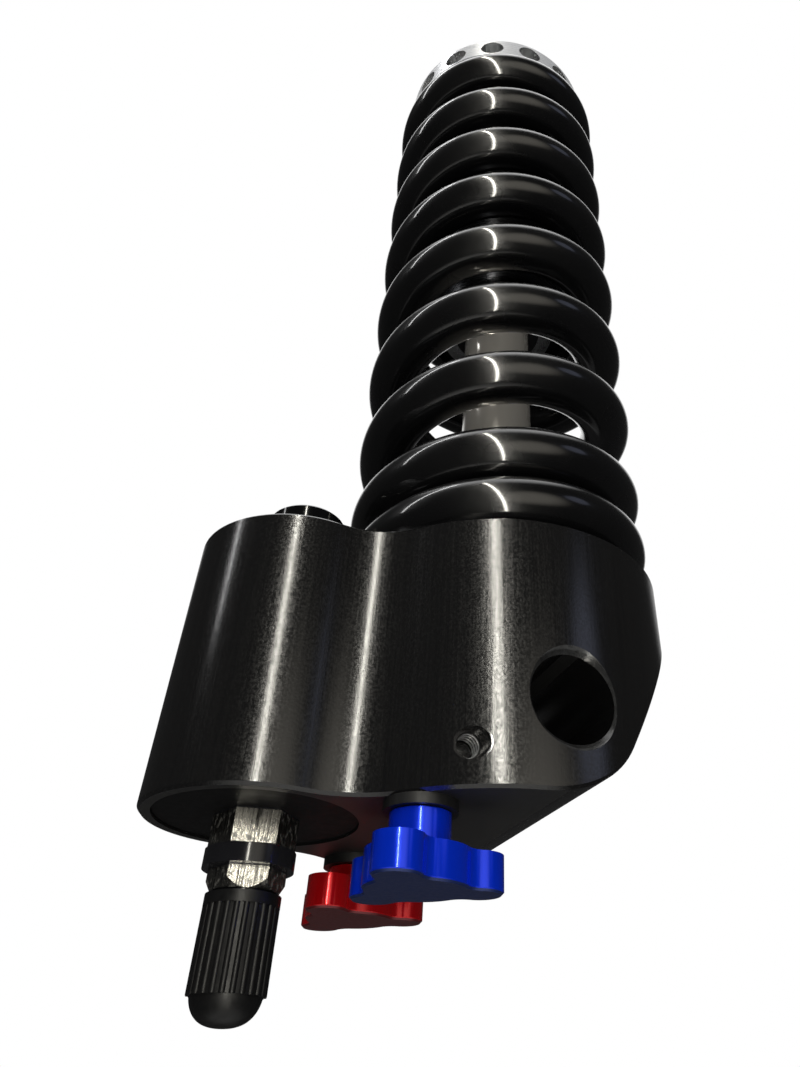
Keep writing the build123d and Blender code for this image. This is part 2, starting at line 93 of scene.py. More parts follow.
class ShockSizes(bpy.types.PropertyGroup):
    """Sizes of the pieces that are made here; the rest comes from the frame."""
    wire: length("Wire", "Diameter of the spring's wire", 9.5)
    spring_outside: length("Spring outside", "Outside diameter of the spring", 53.0)
    closed_pitch: length("Closed pitch", "Rise of a closed turn", 10.0)
    closed_low: turn_count("Closed turns at the head", "Turns that touch at the head", 1.65)
    closed_high: turn_count("Closed turns at the collar", "Turns that touch at the collar", 0.55)
    turns: turn_count("Turns", "All turns of the spring", 8.98)
    start_angle: FloatProperty(name="Start angle", description="Where the wire starts, from +X",
                               subtype="ANGLE", default=math.radians(42.0))
    blend: turn_count("Pitch change", "Turns over which the pitch changes", 0.12)
    body_wall: length("Body wall", "Wall of the damper body", 2.5)
    body_pitch: length("Body thread pitch", "Pitch of the collar's thread on the damper body", 1.5)
    body_thread_depth: length("Body thread depth", "Depth of the collar's thread", 0.75)
    body_thread_length: length("Body thread length", "From the thread's start to the body's eye end", 62.0)
    body_thread_end: length("Body thread end", "Plain length between the thread and the eye end", 0.5)
    body_run_out: length("Body thread run-out", "Length over which the collar's thread fades", 2.0)
    screw_pitch: length("Side screw pitch", "Pitch of the thread in the side hole", 0.7)
    screw_radius: length("Side screw radius", "Radius of the side hole's thread at its roots", 1.65)
    screw_depth: length("Side screw depth", "Depth of the side hole's thread", 0.27)
    screw_skin: length("Side screw skin", "Thickness behind the roots of the side hole's thread", 0.05)
    screw_run_out: length("Side screw run-out", "Length over which the side hole's thread fades", 0.3)
    screw_low: length("Side screw floor", "From the shock's axis to the side hole's floor", 19.66)
    screw_high: length("Side screw mouth", "From the shock's axis to the thread's outer end", 22.44)
    screw_x: length("Side screw across", "Place of the side hole along X", -13.0)
    screw_z: length("Side screw height", "Place of the side hole along Z", -6.8)
    valve_pitch: length("Valve thread pitch", "Pitch of the thread under the dust cap", 0.8)
    reservoir_x: length("Reservoir across", "Place of the reservoir's axis along X", -34.0)


class ShockColours(bpy.types.PropertyGroup):
    """Colours of the finishes."""
    powder: colour("Powder coat", "Gloss black powder coat of the spring", "#070708")
    anodised: colour("Black anodising", "Dyed oxide layer of the head", "#0C0C0D")
    # Painted sheen: a lighter colour for the head's brushed lines, which stands in for the light that they
    # catch.
    brushed: colour("Brushed anodising", "Oxide layer on the crests of the head's brushed lines", "#1B1A19")
    eye_rim: colour("Eye rim", "Bare aluminium round the head's eye", "#77787A")
    # Painted highlight: bare metal for the side hole's ring, which is kept to the side where the highlight
    # falls.
    hole_glint_ring: colour("Hole mouth", "Bare aluminium round the side hole", "#8C8D8F")
    cap_face: colour("Cap anodising", "Dyed oxide layer of the reservoir cap", "#121213")
    bare: colour("Bare aluminium", "Machined aluminium without a coating", "#D9DADC")
    hard: colour("Hard anodising", "Dark hard anodising of the damper body", "#26272A")
    blue: colour("Blue anodising", "Dyed oxide layer of the compression knob", "#0036EC")
    # Painted shade: a darker, greyer colour for the compression knob's end face, which faces down.
    blue_face_shaded: colour("Blue face", "Milled end face of the compression knob", "#26366E")
    red: colour("Red anodising", "Dyed oxide layer of the rebound knob", "#CC0A14")
    # Painted shade: a darker, greyer colour for the rebound knob's end face, which faces down.
    red_face_shaded: colour("Red face", "Milled end face of the rebound knob", "#6A2226")
    plated: colour("Black plating", "Plating of the filling valve", "#17171A")
    worn: colour("Worn plating", "Bright steel where the valve's flats are worn", "#9A9892")
    streak: colour("Dark streaks", "Plating left between the valve's bright streaks", "#32312F")
    shaft: colour("Chrome", "Hard chrome of the ground shaft", "#D2CEC8")
    plastic: colour("Black plastic", "Moulded dust cap", "#0B0B0C")
    rubber: colour("Rubber", "Seals and bumpers", "#17171A")
    slip_ring: colour("Slip ring", "Moulded spring seat", "#2A2B2E")
    steel: colour("Steel", "Turned or rolled steel", "#A9ABAF")
    brass: colour("Brass", "Turned brass of the valve core", "#C9A25A")
    backdrop: colour("Backdrop", "Floor and backdrop", "#FFFFFF")


class ShockSettings(bpy.types.PropertyGroup):
    """All settings of the shock absorber."""
    sizes: PointerProperty(type=ShockSizes, name="Sizes", description="Sizes of the pieces made here")
    colours: PointerProperty(type=ShockColours, name="Colours", description="Colours of the finishes")
    coil_sides: steps("Wire sides", "Points round the spring's wire", 36, 8)
    coil_steps: steps("Steps per turn", "Points along each turn of the spring", 96, 16)
    body_sides: steps("Body sides", "Points round the damper body", 72, 12)
    body_steps: steps("Body thread steps", "Points along each pitch of the collar's thread", 8, 4)
    screw_sides: steps("Side screw sides", "Points round the side hole's thread", 48, 12)
    screw_steps: steps("Side screw steps", "Points along each pitch of the side hole's thread", 12, 4)


def settings():
    """The scene's settings of the shock absorber."""
    return bpy.context.scene.shock


# Meshes


def put_mesh(name, points, wrap_rows, wrap_columns, close_ends=False):
    """Object from a grid of points, rows by columns by 3. A face joins each point with the next in both
    ways. Wrapping joins the last row or column with the first. Closing the ends adds a flat face on the
    first and the last row."""
    rows, columns = points.shape[:2]
    index = np.arange(rows * columns).reshape(rows, columns)
    next_row = np.roll(index, -1, 0)
    next_column = np.roll(index, -1, 1)
    corner = np.roll(next_column, -1, 0)
    quads = np.stack([index, next_column, corner, next_row], -1)
    quads = quads[:rows if wrap_rows else rows - 1, :columns if wrap_columns else columns - 1]
    faces = quads.reshape(-1, 4).tolist()
    if close_ends:
        faces.append(index[0, ::-1].tolist())
        faces.append(index[-1].tolist())
    mesh = bpy.data.meshes.new(name)
    mesh.from_pydata(points.reshape(-1, 3).tolist(), [], faces)
    mesh.update()
    mesh.polygons.foreach_set("use_smooth", np.ones(len(mesh.polygons), bool))
    obj = bpy.data.objects.new(name, mesh)
    bpy.context.scene.collection.objects.link(obj)
    return obj


def sharpen(obj, degrees):
    """Edges where two faces meet at more than this angle are drawn sharp."""
    obj.data.set_sharp_from_angle(angle=math.radians(degrees))


def coil_height(sizes, turn, height):
    """Height of the wire's centre: a closed rise, plus half of (x + the root of x squared plus blend
    squared) at each place where the turns open or close."""
    closed = sizes.closed_pitch * (sizes.closed_low + sizes.closed_high)
    active = sizes.turns - sizes.closed_low - sizes.closed_high
    extra = (height - closed) / active - sizes.closed_pitch
    rise = sizes.closed_pitch * turn
    for start, sign in ((sizes.closed_low, 1), (sizes.turns - sizes.closed_high, -1)):
        past = turn - start
        rise = rise + sign * extra * (past + np.hypot(past, sizes.blend)) / 2
    return rise


def coil_points(sizes, per_turn, sides, low, high):
    """Points of the spring. The centre line is radius (cos a, sin a) at the coil height. Round it runs a
    circle spanned by the direction away from the axis and the one square to that and to the wire. Heights
    are cut off at both ends, which grinds the ends flat."""
    turn = np.linspace(0, sizes.turns, round(sizes.turns * per_turn) + 1)
    angle = sizes.start_angle + TURN * turn
    radius = (sizes.spring_outside - sizes.wire) / 2
    outward = np.stack([np.cos(angle), np.sin(angle), 0 * angle], -1)
    centre = radius * outward
    centre[:, 2] = low + coil_height(sizes, turn, high - low)
    along = np.gradient(centre, axis=0)
    along /= np.linalg.norm(along, axis=1)[:, None]
    across = np.cross(outward, along)
    around = (np.arange(sides) * TURN / sides)[None, :, None]
    ring = np.cos(around) * outward[:, None, :] + np.sin(around) * across[:, None, :]
    points = centre[:, None, :] + sizes.wire / 2 * ring
    points[..., 2] = np.clip(points[..., 2], low, high)
    return points


def thread_rise(height, angle, pitch):
    """Share of a thread's depth at a height and an angle: a triangle wave along the height, turned by the
    angle. Stretched to 1.5 and cut off at 0 and 1, it gets a flat of a sixth of the pitch on crest and
    root."""
    phase = (height / pitch - angle / TURN) % 1.0
    wave = 1 - np.abs(2 * phase - 1)
    return np.clip(wave * 1.5 - 0.25, 0, 1)


def threaded_tube(ends, thread_ends, plain, threaded, depth, pitch, run_out, per_pitch, sides, inner=False):
    """Points of a tube along Z with one plain and one threaded wall, given by their radii. An outer thread
    is cut into its wall: the radius is the threaded one less the depth times what the thread's rise leaves.
    An inner one stands up from its wall. Both fade to nothing over the run-out at each end of the thread."""
    low, high = ends
    thread_low, thread_high = thread_ends
    count = max(2, round((thread_high - thread_low) / pitch * per_pitch))
    thread = np.linspace(thread_low, thread_high, count)
    heights = np.concatenate([[low, low], thread, [high, high]])
    angle = np.arange(sides) * TURN / sides * (-1 if inner else 1)
    grid_h, grid_a = np.meshgrid(heights, angle, indexing="ij")
    fade = np.clip(np.minimum(grid_h - thread_low, thread_high - grid_h) / run_out, 0, 1)
    rise = thread_rise(grid_h, grid_a, pitch)
    radius = threaded - depth * (rise if inner else 1 - rise) * fade
    radius[[0, -1]] = plain
    return np.stack([radius * np.cos(grid_a), radius * np.sin(grid_a), grid_h], -1)


# Materials


def fill(tree, socket, value):
    """Puts a value in a socket, or links another socket or a node's first output in use to it."""
    if isinstance(value, bpy.types.Node):
        value = [output for output in value.outputs if output.enabled][0]
    if isinstance(value, bpy.types.NodeSocket):
        tree.links.new(value, socket)
    elif socket.type == "RGBA":
        socket.default_value = (*value, 1)
    else:
        socket.default_value = value


def add(tree, kind, inputs=(), **values):
    """Adds a node with its settings, and fills the inputs that they leave in use, in order or by name.
    Returns the node."""
    node = tree.nodes.new("ShaderNode" + kind)
    for name, value in values.items():
        setattr(node, name, value)
    live = [socket for socket in node.inputs if socket.enabled]
    if isinstance(inputs, dict):
        live = [[socket for socket in live if socket.name == name][0] for name in inputs]
        inputs = inputs.values()
    for socket, value in zip(live, inputs):
        fill(tree, socket, value)
    return node


def set_inputs(tree, shader, **values):
    """Fills the shader's inputs, whose names are written with underscores, with values or patterns."""
    for key, value in values.items():
        fill(tree, shader.inputs[key.replace("_", " ")], value)


def new_material(name, **values):
    """A material with a principled shader whose inputs have these values. Returns material, tree and shader.
    An input that gets a pattern later keeps its value here for when the pattern is taken off."""
    material = bpy.data.materials.new(name)
    material.use_nodes = True
    tree = material.node_tree
    shader = tree.nodes["Principled BSDF"]
    set_inputs(tree, shader, **values)
    return material, tree, shader


def grain(tree, size_mm, detail):
    """Noise whose grains have this size along X, Y and Z, in millimetres."""
    place = add(tree, "TexCoord").outputs["Object"]
    scaled = add(tree, "Mapping", {"Vector": place, "Scale": [1 / (size * MM) for size in size_mm]})
    return add(tree, "TexNoise", {"Vector": scaled, "Scale": 1.0, "Detail": detail, "Roughness": 0.55})


def all_of(tree, *shares):
    """The product of shares, which is 1 only where each of them is 1."""
    product = shares[0]
    for share in shares[1:]:
        product = add(tree, "Math", (product, share), operation="MULTIPLY")
    return product


def band(tree, value, low, high):
    """1 where a value lies between two others, and 0 elsewhere."""
    above = add(tree, "Math", (value, low), operation="GREATER_THAN")
    below = add(tree, "Math", (value, high), operation="LESS_THAN")
    return all_of(tree, above, below)


def powder_coat():
    """Spring steel under gloss black powder coat, sprayed and baked. It shows a faint orange peel, sharp
    reflections and a little haze."""
    material, tree, shader = new_material("gloss_black_powder_coat", Base_Color=settings().colours.powder,
                                          Roughness=0.3, Specular_IOR_Level=0.25, Coat_Weight=1.0,
                                          Coat_Roughness=0.08)
    peel = grain(tree, (3.5, 3.5, 3.5), 2.0)
    cloud = grain(tree, (14, 14, 14), 2.0)
    set_inputs(tree, shader, Roughness=add(tree, "MapRange", (cloud, 0.35, 0.65, 0.24, 0.34)),
               Normal=add(tree, "Bump", {"Height": peel, "Distance": 0.045 * MM}))
    return material


def eye_rim(tree, flat, facing):
    """1 on the eye's countersunk rim: within a distance of the eye's axis, where the surface is aslant to
    it. It fades in from the bore."""
    bore_edge, fully_bare, rim_edge = 6.6 * MM, 6.85 * MM, 7.2 * MM
    away = add(tree, "VectorMath", (flat,), operation="LENGTH")
    near = add(tree, "Math", (away, rim_edge), operation="LESS_THAN")
    level = add(tree, "Math", (facing.outputs["Y"],), operation="ABSOLUTE")
    fade = add(tree, "MapRange", (away, bore_edge, fully_bare, 0.15, 1))
    return all_of(tree, near, band(tree, level, 0.6, 0.8), fade)


def hole_glint_ring(tree, flat, facing, along_x):
    """1 on a thin ring of bare metal round the side hole's mouth, which is kept to its far side from the
    reservoir, where a highlight falls: the bare edge is partly real, and keeping it to that one side is a
    painted highlight."""
    s = settings().sizes
    ring_inside, ring_outside, glint_from = 2.14 * MM, 2.3 * MM, 1.6 * MM
    away = add(tree, "VectorMath", (flat, (s.screw_x, 0, s.screw_z)), operation="DISTANCE")
    outward = add(tree, "Math", (facing.outputs["Y"], -0.7), operation="LESS_THAN")
    glint_side = add(tree, "Math", (along_x, s.screw_x + glint_from), operation="GREATER_THAN")
    return all_of(tree, band(tree, away, ring_inside, ring_outside), outward, glint_side)


def head_anodising():
    """Black anodised aluminium, brushed along the shock before dyeing. It shows fine lines along Z on the
    walls, with a lighter colour along them that is a painted sheen, a dull faced end, bare metal on the eye's
    countersunk rim, and a bare ring on the side hole's mouth that is kept to the side where a highlight
    falls: a painted highlight."""
    c = settings().colours
    material, tree, shader = new_material("black_anodised_head", Base_Color=c.anodised, Roughness=0.22,
                                          Specular_IOR_Level=0.8)
    coordinates = add(tree, "TexCoord")
    place = add(tree, "SeparateXYZ", (coordinates.outputs["Object"],))
    facing = add(tree, "SeparateXYZ", (coordinates.outputs["Normal"],))
    flat = add(tree, "CombineXYZ", {"X": place.outputs["X"], "Z": place.outputs["Z"]})
    lines = add(tree, "Math", (grain(tree, (0.35, 0.35, 30), 4.0), 0.6), operation="MULTIPLY")
    fine = add(tree, "Math", (grain(tree, (0.12, 0.12, 12), 2.0), 0.4), operation="MULTIPLY")
    brushed = add(tree, "Math", (lines, fine), operation="ADD")
    speckle = grain(tree, (0.3, 0.3, 0.4), 2.0)
    brushed_rough = add(tree, "MapRange", (brushed, 0.35, 0.65, 0.1, 0.16))
    speckled_rough = add(tree, "MapRange", (speckle, 0.35, 0.65, 0.0, 0.1))
    wall_rough = add(tree, "Math", (brushed_rough, speckled_rough), operation="ADD")
    down = add(tree, "Math", (facing.outputs["Z"], -0.98), operation="LESS_THAN")
    ring = hole_glint_ring(tree, flat, facing, place.outputs["X"])
    worn = add(tree, "MapRange", (grain(tree, (2, 2, 2), 3.0), 0.35, 0.6, 0.2, 0.8))
    bare = add(tree, "Math", (all_of(tree, eye_rim(tree, flat, facing), worn), ring), operation="ADD")
    # Painted sheen: the brushed lines are mixed to a lighter colour, as if they caught the light.
    sheen_streaks = add(tree, "MapRange", (brushed, 0.3, 0.7, 0.0, 0.3))
    shade = add(tree, "Mix", (sheen_streaks, c.anodised, c.brushed), data_type="RGBA")
    shade = add(tree, "Mix", (bare, shade, c.eye_rim), data_type="RGBA")
    # Painted highlight: the bare ring on the side of the hole where the highlight falls.
    shade = add(tree, "Mix", (ring, shade, c.hole_glint_ring), data_type="RGBA")
    raised = add(tree, "Math", (speckle, 1.2), operation="MULTIPLY")
    hills = add(tree, "Math", (brushed, raised), operation="ADD")
    set_inputs(tree, shader, Base_Color=shade, Metallic=bare,
               Roughness=add(tree, "Mix", (down, wall_rough, 0.5)),
               Normal=add(tree, "Bump", {"Height": hills, "Distance": 0.006 * MM}))
    return material


def turned_anodising(name, code, axis_x, rough, shine=0.6):
    """Black anodised aluminium with a face turned in a lathe: faint rings round an axis along Z at x, which
    are coarser than a lathe's so that they show."""
    # The wave node counts 20 radians to a unit of length
    ring_spacing, wave_radians = TURN * 0.25 * MM, 20
    material, tree, shader = new_material(name, Base_Color=code, Roughness=rough, Specular_IOR_Level=shine)
    place = add(tree, "TexCoord").outputs["Object"]
    centred = add(tree, "Mapping", {"Vector": place, "Location": (-axis_x, 0, 0)})
    rings = add(tree, "TexWave", {"Vector": centred, "Scale": TURN / (ring_spacing * wave_radians),
                                  "Distortion": 1.0, "Detail": 2.0}, wave_type="RINGS", rings_direction="Z")
    cloud = grain(tree, (6, 6, 6), 3.0)
    set_inputs(tree, shader, Roughness=add(tree, "MapRange", (cloud, 0.3, 0.7, rough * 0.8, rough * 1.3)),
               Normal=add(tree, "Bump", {"Height": rings.outputs["Fac"], "Distance": 0.004 * MM}))
    return material


def tooled_metal(name, code, rough, grain_mm, depth_mm, spread=0.35, metallic=1.0):
    """Bare or coated metal with the marks of the tool that turned, rolled or ground it, as stretched noise.
    The roughness strays from its middle by the spread."""
    material, tree, shader = new_material(name, Base_Color=code, Roughness=rough, Metallic=metallic)
    marks = grain(tree, grain_mm, 4.0)
    low, high = rough * (1 - spread), rough * (1 + spread)
    set_inputs(tree, shader, Roughness=add(tree, "MapRange", (marks, 0.3, 0.7, low, high)),
               Normal=add(tree, "Bump", {"Height": marks, "Distance": depth_mm * MM}))
    return material


def knob_anodising(name, code, shaded_face_code, face_z):
    """Dyed clear anodised aluminium: colour over bright metal. The milled end face is duller, and its colour
    is darker and greyer: painted shade for the dark surroundings that the face looks down at.
    """
    face_depth = 0.25 * MM
    material, tree, shader = new_material(name, Base_Color=code, Roughness=0.22, Metallic=0.6,
                                          Coat_Weight=0.5, Coat_Roughness=0.08)
    place = add(tree, "SeparateXYZ", (add(tree, "TexCoord").outputs["Object"],))
    face = add(tree, "Math", (place.outputs["Z"], face_z + face_depth), operation="LESS_THAN")
    marks = grain(tree, (0.5, 0.5, 3), 3.0)
    marked_rough = add(tree, "MapRange", (marks, 0.3, 0.7, 0.16, 0.24))
    face_rough = add(tree, "Math", (face, 0.12), operation="MULTIPLY")
    # Painted shade: the end face gets the darker, greyer face colour.
    set_inputs(tree, shader, Base_Color=add(tree, "Mix", (face, code, shaded_face_code), data_type="RGBA"),
               Roughness=add(tree, "Math", (marked_rough, face_rough), operation="ADD"),
               Normal=add(tree, "Bump", {"Height": marks, "Distance": 0.004 * MM}))
    return material


def tapped_thread():
    """Thread cut through black anodising: bare metal on the crests, dark in the roots. The share is the
    distance from the hole's axis, carried from crest to half the thread's depth."""
    c, s = settings().colours, settings().sizes
    material, tree, shader = new_material("worn_tapped_thread", Base_Color=c.anodised, Roughness=0.3)
    place = add(tree, "TexCoord").outputs["Object"]
    flat = add(tree, "VectorMath", (place, (1, 0, 1)), operation="MULTIPLY")
    away = add(tree, "VectorMath", (flat, (s.screw_x, 0, s.screw_z)), operation="DISTANCE")
    crest_radius = s.screw_radius - s.screw_depth * 0.9
    half_radius = s.screw_radius - s.screw_depth * 0.5
    crest = add(tree, "MapRange", (away, crest_radius, half_radius, 1, 0))
    set_inputs(tree, shader, Base_Color=add(tree, "Mix", (crest, c.anodised, c.bare), data_type="RGBA"),
               Metallic=crest)
    return material


def plated_valve():
    """Black plated turned steel. Its two hexagons are worn to bright streaks along the valve, its round
    parts stay gloss black, and a thread runs under the dust cap: a triangle wave of height over pitch less
    angle."""
    c, s = settings().colours, settings().sizes
    hexagon, nut, thread_top = (-16.0 * MM, -12.0 * MM), (-21.0 * MM, -18.5 * MM), -21.6 * MM
    material, tree, shader = new_material("black_plated_valve", Base_Color=c.plated, Roughness=0.25)
    place = add(tree, "SeparateXYZ", (add(tree, "TexCoord").outputs["Object"],))
    height = place.outputs["Z"]
    streaks = grain(tree, (0.22, 0.22, 4), 3.0)
    mottle = grain(tree, (0.7, 0.7, 0.9), 3.0)
    flats = add(tree, "Math", (band(tree, height, *hexagon), band(tree, height, *nut)), operation="ADD")
    wear = all_of(tree, flats, add(tree, "MapRange", (mottle, 0.3, 0.45, 0.35, 1.0)))
    bright_share = add(tree, "MapRange", (streaks, 0.3, 0.5, 0, 1))
    bright = add(tree, "Mix", (bright_share, c.streak, c.worn), data_type="RGBA")
    streaky_rough = add(tree, "MapRange", (streaks, 0.3, 0.7, 0.2, 0.28))
    across = add(tree, "Math", (place.outputs["X"], -s.reservoir_x), operation="ADD")
    angle = add(tree, "Math", (place.outputs["Y"], across), operation="ARCTAN2")
    turns_up = add(tree, "Math", (height, s.valve_pitch), operation="DIVIDE")
    turns_round = add(tree, "Math", (angle, TURN), operation="DIVIDE")
    phase = add(tree, "Math", (turns_up, turns_round), operation="SUBTRACT")
    wave = add(tree, "Math", (phase, 0.5), operation="PINGPONG")
    thread = all_of(tree, wave, add(tree, "Math", (height, thread_top), operation="LESS_THAN"))
    scratches = all_of(tree, flats, add(tree, "Math", (streaks, 0.06), operation="MULTIPLY"))
    hills = add(tree, "Math", (thread, scratches), operation="ADD")
    set_inputs(tree, shader, Base_Color=add(tree, "Mix", (wear, c.plated, bright), data_type="RGBA"),
               Metallic=wear, Roughness=add(tree, "Mix", (flats, 0.14, streaky_rough)),
               Normal=add(tree, "Bump", {"Height": hills, "Distance": 0.5 * MM}))
    return material


def moulded(name, code, rough, grain_mm=0.6, depth_mm=0.01, shine=0.5):
    """Moulded plastic or rubber: an even colour with the fine grain of a spark-eroded mould."""
    material, tree, shader = new_material(name, Base_Color=code, Roughness=rough, Specular_IOR_Level=shine)
    fine = grain(tree, (grain_mm,) * 3, 2.0)
    set_inputs(tree, shader, Roughness=add(tree, "MapRange", (fine, 0.3, 0.7, rough * 0.85, rough * 1.15)),
               Normal=add(tree, "Bump", {"Height": fine, "Distance": depth_mm * MM}))
    return material


def dress(names, material):
    """Gives CAD nodes a material in all their slots."""
    for name in names:
        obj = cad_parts[name]
        if not obj.material_slots:
            obj.data.materials.append(material)
        for slot in obj.material_slots:
            slot.material = material


# Operators


class SHOCK_OT_spring(bpy.types.Operator):
    """Makes the coil spring with its ground ends"""
    bl_idname = "shock.spring"
    bl_label = "Coil Spring"

    def execute(self, context):
        s = settings()
        low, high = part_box("coil_spring")
        points = coil_points(s.sizes, s.coil_steps, s.coil_sides, low[2], high[2])
        spring = put_mesh("spring_coil", points, False, True, close_ends=True)
        sharpen(spring, 40)
        spring.data.materials.append(powder_coat())
        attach(spring, "head")
        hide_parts("coil_spring")
        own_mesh(spring)
        return {"FINISHED"}


class SHOCK_OT_body_thread(bpy.types.Operator):
    """Makes the damper body with the collar's thread"""
    bl_idname = "shock.body_thread"
    bl_label = "Damper Body"

    def execute(self, context):
        s, c = settings().sizes, settings().colours
        low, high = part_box("damper_body")
        outside = (high[0] - low[0]) / 2
        thread_ends = (high[2] - s.body_thread_length, high[2] - s.body_thread_end)
        points = threaded_tube((low[2], high[2]), thread_ends, outside - s.body_wall, outside,
                               s.body_thread_depth, s.body_pitch, s.body_run_out, settings().body_steps,
                               settings().body_sides)
        body = put_mesh("damper_body_tube", points, True, True)
        sharpen(body, 35)
        body.data.materials.append(tooled_metal("hard_anodised_body", c.hard, 0.26, (2, 2, 0.3), 0.002))
        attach(body, "damper")
        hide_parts("damper_body")
        return {"FINISHED"}


class SHOCK_OT_side_thread(bpy.types.Operator):
    """Makes the thread in the head's side hole"""
    bl_idname = "shock.side_thread"
    bl_label = "Side Thread"

    def execute(self, context):
        s = settings().sizes
        ends = (s.screw_low, s.screw_high)
        points = threaded_tube(ends, ends, s.screw_radius + s.screw_skin, s.screw_radius, s.screw_depth,
                               s.screw_pitch, s.screw_run_out, settings().screw_steps,
                               settings().screw_sides, inner=True)
        across, up, out = np.moveaxis(points, -1, 0)
        turned = np.stack([s.screw_x + across, -out, s.screw_z + up], -1)
        thread = put_mesh("side_hole_thread", turned, True, True)
        sharpen(thread, 35)
        thread.data.materials.append(tapped_thread())
        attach(thread, "head")
        return {"FINISHED"}


class SHOCK_OT_finishes(bpy.types.Operator):
    """Gives the CAD pieces their finishes"""
    bl_idname = "shock.finishes"
    bl_label = "Finishes"

    def execute(self, context):
        c, reservoir_x = settings().colours, settings().sizes.reservoir_x
        blue_z, red_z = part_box("compression_knob")[0][2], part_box("rebound_knob")[0][2]
        dress(["head_block"], head_anodising())
        dress(["body_eye"], turned_anodising("black_anodised_turned", c.anodised, 0, 0.3))
        dress(["adjuster_glands"], moulded("black_oxide_gland", c.anodised, 0.5, 1.0, 0.002))
        dress(["reservoir_cap"],
              turned_anodising("black_anodised_cap", c.cap_face, reservoir_x, 0.6, shine=0.1))
        dress(["reservoir_end_plug"], turned_anodising("gloss_black_plug", c.powder, reservoir_x, 0.1))
        dress(["filling_valve"], plated_valve())
        dress(["valve_cap"], moulded("moulded_black_nylon", c.plastic, 0.42, 1.0, 0.003, 0.35))
        dress(["compression_knob"], knob_anodising("blue_anodised_knob", c.blue, c.blue_face_shaded, blue_z))
        dress(["rebound_knob"], knob_anodising("red_anodised_knob", c.red, c.red_face_shaded, red_z))
        dress(["shaft"],
              tooled_metal("hard_chromed_shaft", c.shaft, 0.18, (3, 3, 20), 0.0005, metallic=0.65))
        dress(["preload_collar"],
              tooled_metal("turned_aluminium_collar", c.bare, 0.3, (15, 15, 0.2), 0.0015, spread=0.2))
        dress(["main_piston", "floating_piston", "seal_head"],
              tooled_metal("turned_aluminium_inner", c.bare, 0.3, (4, 4, 0.3), 0.004))
        dress(["rebound_shims", "compression_shims", "piston_nut", "compression_needle", "rebound_needle"],
              tooled_metal("rolled_steel", c.steel, 0.25, (1, 1, 4), 0.003))
        dress(["valve_core", "valve_pin"], tooled_metal("turned_brass", c.brass, 0.25, (2, 2, 0.2), 0.003))
        dress(["spring_seat", "piston_band"], moulded("moulded_slip_ring", c.slip_ring, 0.45))
        dress(["bottom_out_bumper"], moulded("cellular_bumper", c.rubber, 0.75, 0.8, 0.05))
        dress(["top_out_bumper", "reservoir_cap_ring", "shaft_wiper", "shaft_seal", "seal_head_ring",
               "body_eye_ring", "floating_piston_ring", "valve_cap_seal"],
              moulded("moulded_nitrile_rubber", c.rubber, 0.5))
        return {"FINISHED"}


def area_lamp(name, place, aim, size, power, tint=WHITE, lean=0.0):
    """A rectangular soft lamp at a place, facing a point, with its long side along Z as far as it can, turned
    by the lean in its own plane."""
    data = bpy.data.lights.new(name, "AREA")
    data.shape = "RECTANGLE"
    data.size, data.size_y = size
    data.energy = power
    data.color = tint
    lamp = bpy.data.objects.new(name, data)
    back = (Vector(place) - Vector(aim)).normalized()
    level = AXIS.cross(back).normalized()
    up = back.cross(level) * math.cos(lean) - level * math.sin(lean)
    right = up.cross(back)
    lamp.matrix_world = Matrix.Translation(place) @ Matrix((right, up, back)).transposed().to_4x4()
    lamp.visible_camera = False
    bpy.context.scene.collection.objects.link(lamp)
    return lamp


def sky_patch(tree, azimuth, elevation, fade_from, fade_to, strength):
    """A round patch of the sky, given in degrees: a smooth step of the cosine of the angle to its middle,
    which rises from 0 at the first angle to the strength at the second."""
    azimuth, elevation = math.radians(azimuth), math.radians(elevation)
    way = (math.cos(azimuth) * math.cos(elevation), math.sin(azimuth) * math.cos(elevation),
           math.sin(elevation))
    place = add(tree, "TexCoord").outputs["Generated"]
    along = add(tree, "VectorMath", (place, way), operation="DOT_PRODUCT")
    edges = math.cos(math.radians(fade_from)), math.cos(math.radians(fade_to))
    return add(tree, "MapRange", (along, *edges, 0.0, strength), interpolation_type="SMOOTHSTEP")


